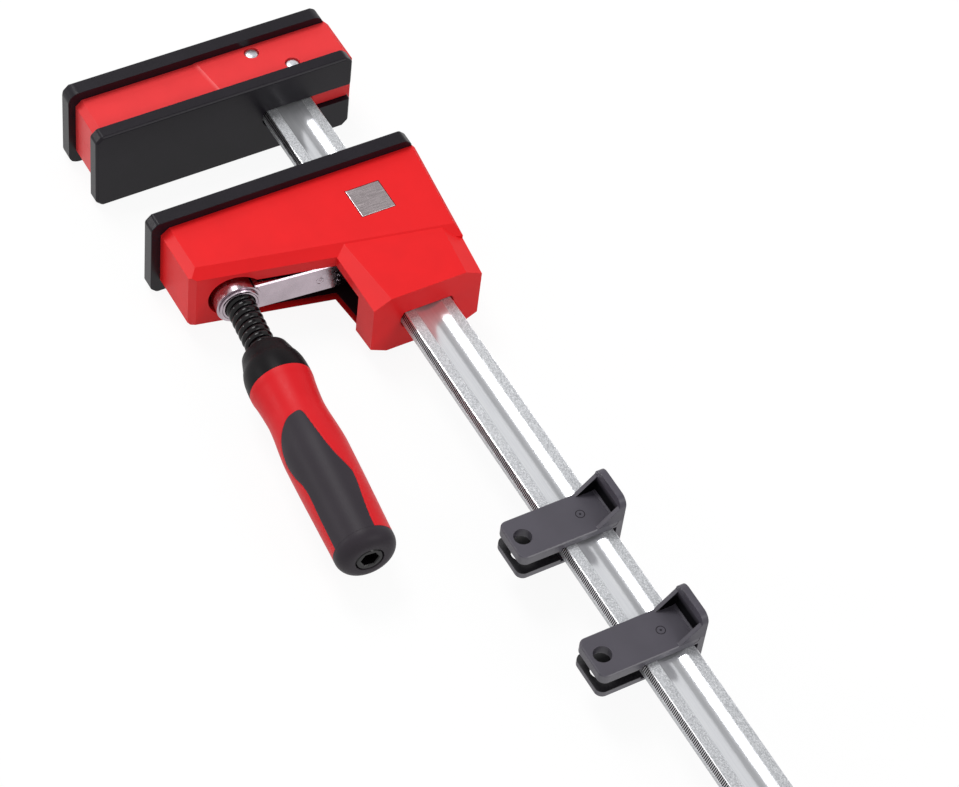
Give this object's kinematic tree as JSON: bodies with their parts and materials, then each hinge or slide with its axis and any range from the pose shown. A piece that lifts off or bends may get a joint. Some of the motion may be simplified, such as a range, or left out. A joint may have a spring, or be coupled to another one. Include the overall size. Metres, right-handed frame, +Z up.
{
  "type": "f clamp",
  "caption": "Parallel-jaw bar clamp: a fixed jaw on a flat steel rail, a sliding jaw driven by a screw with a two-colour handle, and plastic clips on the rail.",
  "frame": {"origin": "middle of the fixed jaw's clamping face, at mid throat depth and mid rail thickness", "axes": "+X along the rail from the fixed jaw towards the moving jaw, +Y from the jaws' tips towards the rail, +Z up with the clamp lying flat"},
  "size_m": [0.7529, 0.152, 0.05],
  "materials": {
    "zinc_steel": "satin",
    "bright_steel": "polished",
    "cast_steel": "satin",
    "cast_aluminium": "satin",
    "black_steel": "satin",
    "red_plastic": "satin",
    "red_handle": "satin",
    "charcoal_pad": "matte",
    "black_plastic": "matte",
    "grip_rubber": "matte",
    "clip_plastic": "matte",
    "badge_silver": "satin"
  },
  "bodies": {
    "rail_body": {"rail": "zinc_steel", "rail_end_stop": "black_plastic", "end_stop_pin": "bright_steel", "fixed_front_pad": "charcoal_pad", "fixed_back_pad": "charcoal_pad", "fixed_casing_upper": "red_plastic", "fixed_casing_lower": "red_plastic", "fixed_jaw_core": "cast_aluminium", "fixed_jaw_pin_near": "bright_steel", "fixed_jaw_pin_far": "bright_steel"},
    "arm": {"sliding_arm": "cast_steel", "arm_brake_spring": "bright_steel", "screw_nut": "bright_steel"},
    "jaw": {"moving_jaw_pad": "charcoal_pad", "moving_jaw_housing": "red_plastic", "moving_jaw_core": "cast_aluminium", "thrust_plate": "bright_steel", "shoe_retainer": "bright_steel", "rail_guide_front": "black_plastic", "rail_guide_rear": "black_plastic", "badge_plate": "badge_silver"},
    "shoe": {"thrust_shoe": "bright_steel", "shoe_ring": "bright_steel"},
    "screw": {"screw_spindle": "black_steel", "handle_ferrule": "black_plastic", "handle_cross_pin": "bright_steel", "handle_core": "red_handle", "handle_grip_upper": "grip_rubber", "handle_grip_lower": "grip_rubber", "handle_end_cap": "grip_rubber", "hex_insert": "black_steel"},
    "clip_near": {"rail_clip_near": "clip_plastic"},
    "clip_far": {"rail_clip_far": "clip_plastic"}
  },
  "joints": [
    {"name": "arm_slide", "type": "slide", "parent": "rail_body", "child": "arm", "axis": [1, 0, 0], "range_m": [-0.035, 0.1]},
    {"name": "shoe_advance", "type": "slide", "parent": "arm", "child": "shoe", "axis": [-0.996, 0.0889, 0], "range_m": [-0.0042, 0.0189]},
    {"name": "spindle_turn", "type": "hinge", "parent": "shoe", "child": "screw", "pos_m": [0.1073, -0.0202, 0], "axis": [-0.996, 0.0889, 0], "range_deg": [-360, 1620]},
    {"name": "jaw_travel", "type": "slide", "parent": "arm", "child": "jaw", "axis": [-1, 0, 0], "range_m": [-0.0042, 0.0189]},
    {"name": "clip_near_slide", "type": "slide", "parent": "rail_body", "child": "clip_near", "axis": [1, 0, 0], "range_m": [-0.03, 0.024]},
    {"name": "clip_far_slide", "type": "slide", "parent": "rail_body", "child": "clip_far", "axis": [1, 0, 0], "range_m": [-0.024, 0.3]}
  ],
  "couplings": [
    {"joint": "spindle_turn", "follows": "shoe_advance", "rad_per_m": 1496},
    {"joint": "jaw_travel", "follows": "shoe_advance", "ratio": 0.99604}
  ]
}
